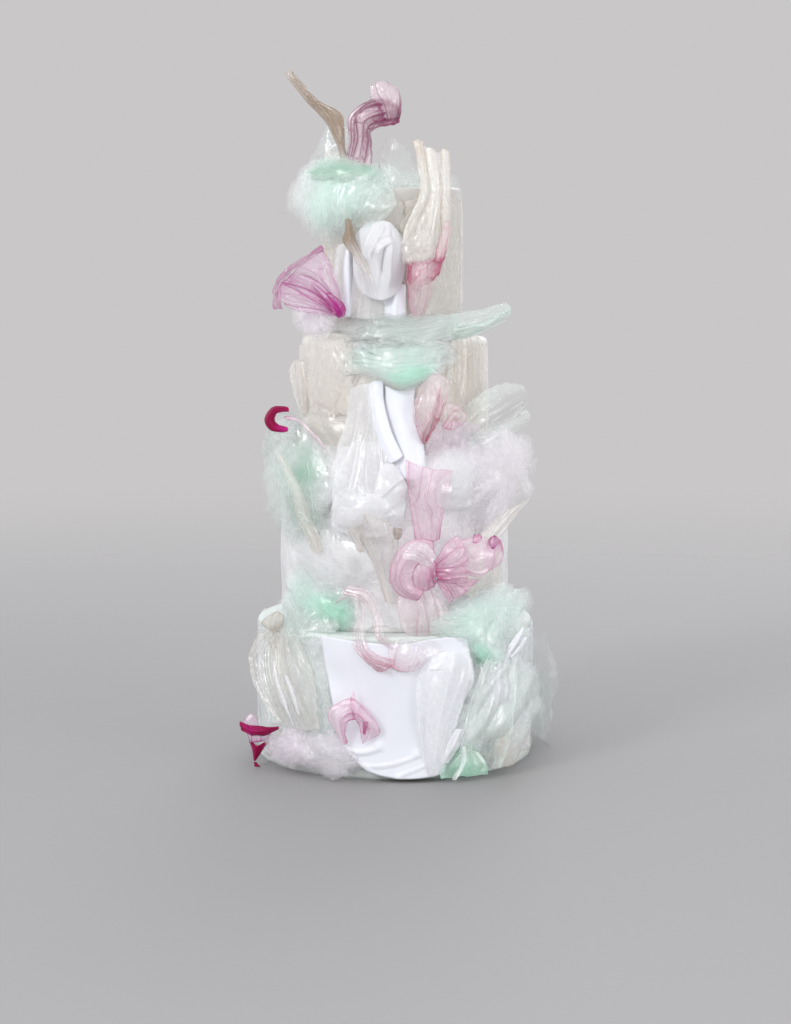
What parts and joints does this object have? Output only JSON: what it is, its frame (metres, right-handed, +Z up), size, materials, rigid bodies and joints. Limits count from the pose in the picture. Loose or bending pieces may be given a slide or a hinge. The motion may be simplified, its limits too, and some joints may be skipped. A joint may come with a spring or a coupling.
{
  "type": "wedding cake",
  "caption": "Tall tiered wedding cake in white and ivory fondant, dressed with translucent pastel wafer-paper sails, folded drapes, petals and crumpled film puffs.",
  "frame": {"origin": "middle of the flat underside of the bottom tier, on the surface that the cake stands on", "axes": "+Z up through the middle of all tiers; the front, with the white panel and the rosette, looks along -Y; +X to the right seen from the front"},
  "size_m": [0.3246, 0.3165, 0.7018],
  "materials": {
    "white_fondant": "rolled white fondant icing, satin, smooth with soft folds",
    "ivory_fondant": "ivory fondant covered with pressed-on sheets of wafer paper",
    "cream_wafer": "translucent cream wafer paper with glossy dried folds",
    "taupe_wafer": "translucent taupe wafer paper twisted into sticks",
    "mint_wafer": "crumpled translucent mint wafer paper",
    "sage_wafer": "sheer grey-green wafer paper",
    "blush_wafer": "translucent blush wafer paper with rose folds",
    "rose_wafer": "translucent rose wafer paper with darker fold lines",
    "magenta_wafer": "wafer paper dyed deep magenta",
    "orchid_wafer": "wafer paper dyed orchid, darker along its folds and rim",
    "lilac_tulle": "fine crumpled wafer lace in lilac white",
    "clear_film": "near-clear sugar film with bright crinkles"
  },
  "bodies": {
    "root": {"back_cream_sail": "cream_wafer", "back_mint_cellophane": "mint_wafer", "back_mint_film": "mint_wafer", "back_pink_petal": "rose_wafer", "back_sage_puff": "sage_wafer", "back_sheer_puff": "clear_film", "back_white_drape": "white_fondant", "back_white_panel": "white_fondant", "blush_fold": "blush_wafer", "blush_sheet_middle": "blush_wafer", "cellophane_fold": "clear_film", "cellophane_right": "clear_film", "clear_film_top": "clear_film", "cream_drape_right": "cream_wafer", "cream_panel_far_left": "cream_wafer", "cream_panel_left": "cream_wafer", "cream_panel_low_right": "cream_wafer", "cream_panel_right": "cream_wafer", "cream_sail_top": "cream_wafer", "cream_sheet_left": "cream_wafer", "cream_spike_left": "cream_wafer", "lilac_net_right": "lilac_tulle", "lilac_puff_left": "lilac_tulle", "lilac_tulle_left": "lilac_tulle", "magenta_curl_left": "magenta_wafer", "magenta_scrap_board": "magenta_wafer", "mint_film_front": "mint_wafer", "mint_film_right": "mint_wafer", "mint_puff_middle": "mint_wafer", "mint_puff_top": "mint_wafer", "mint_ruffle_left": "mint_wafer", "mint_sheet_left": "mint_wafer", "orchid_fan": "orchid_wafer", "pink_paper_middle": "blush_wafer", "pink_swirl": "blush_wafer", "pink_tube_top": "blush_wafer", "pink_vase": "rose_wafer", "rose_petal_top": "rose_wafer", "rose_scrap": "rose_wafer", "rosette_cup": "rose_wafer", "rosette_loop": "rose_wafer", "rosette_petal": "rose_wafer", "sage_film_left": "sage_wafer", "sage_shelf_leaf": "sage_wafer", "sheer_leaf_right": "sage_wafer", "sheer_puff_right": "clear_film", "taupe_funnel": "taupe_wafer", "taupe_stick_front": "taupe_wafer", "taupe_stick_top": "taupe_wafer", "taupe_tip_left": "taupe_wafer", "tier_1": "white_fondant", "tier_2": "ivory_fondant", "tier_3": "ivory_fondant", "tier_4": "ivory_fondant", "white_curtain_top": "white_fondant", "white_drape_middle": "white_fondant", "white_folds_middle": "white_fondant", "white_panel_front": "white_fondant", "white_puff_left": "lilac_tulle", "white_rose": "white_fondant"}
  },
  "joints": []
}
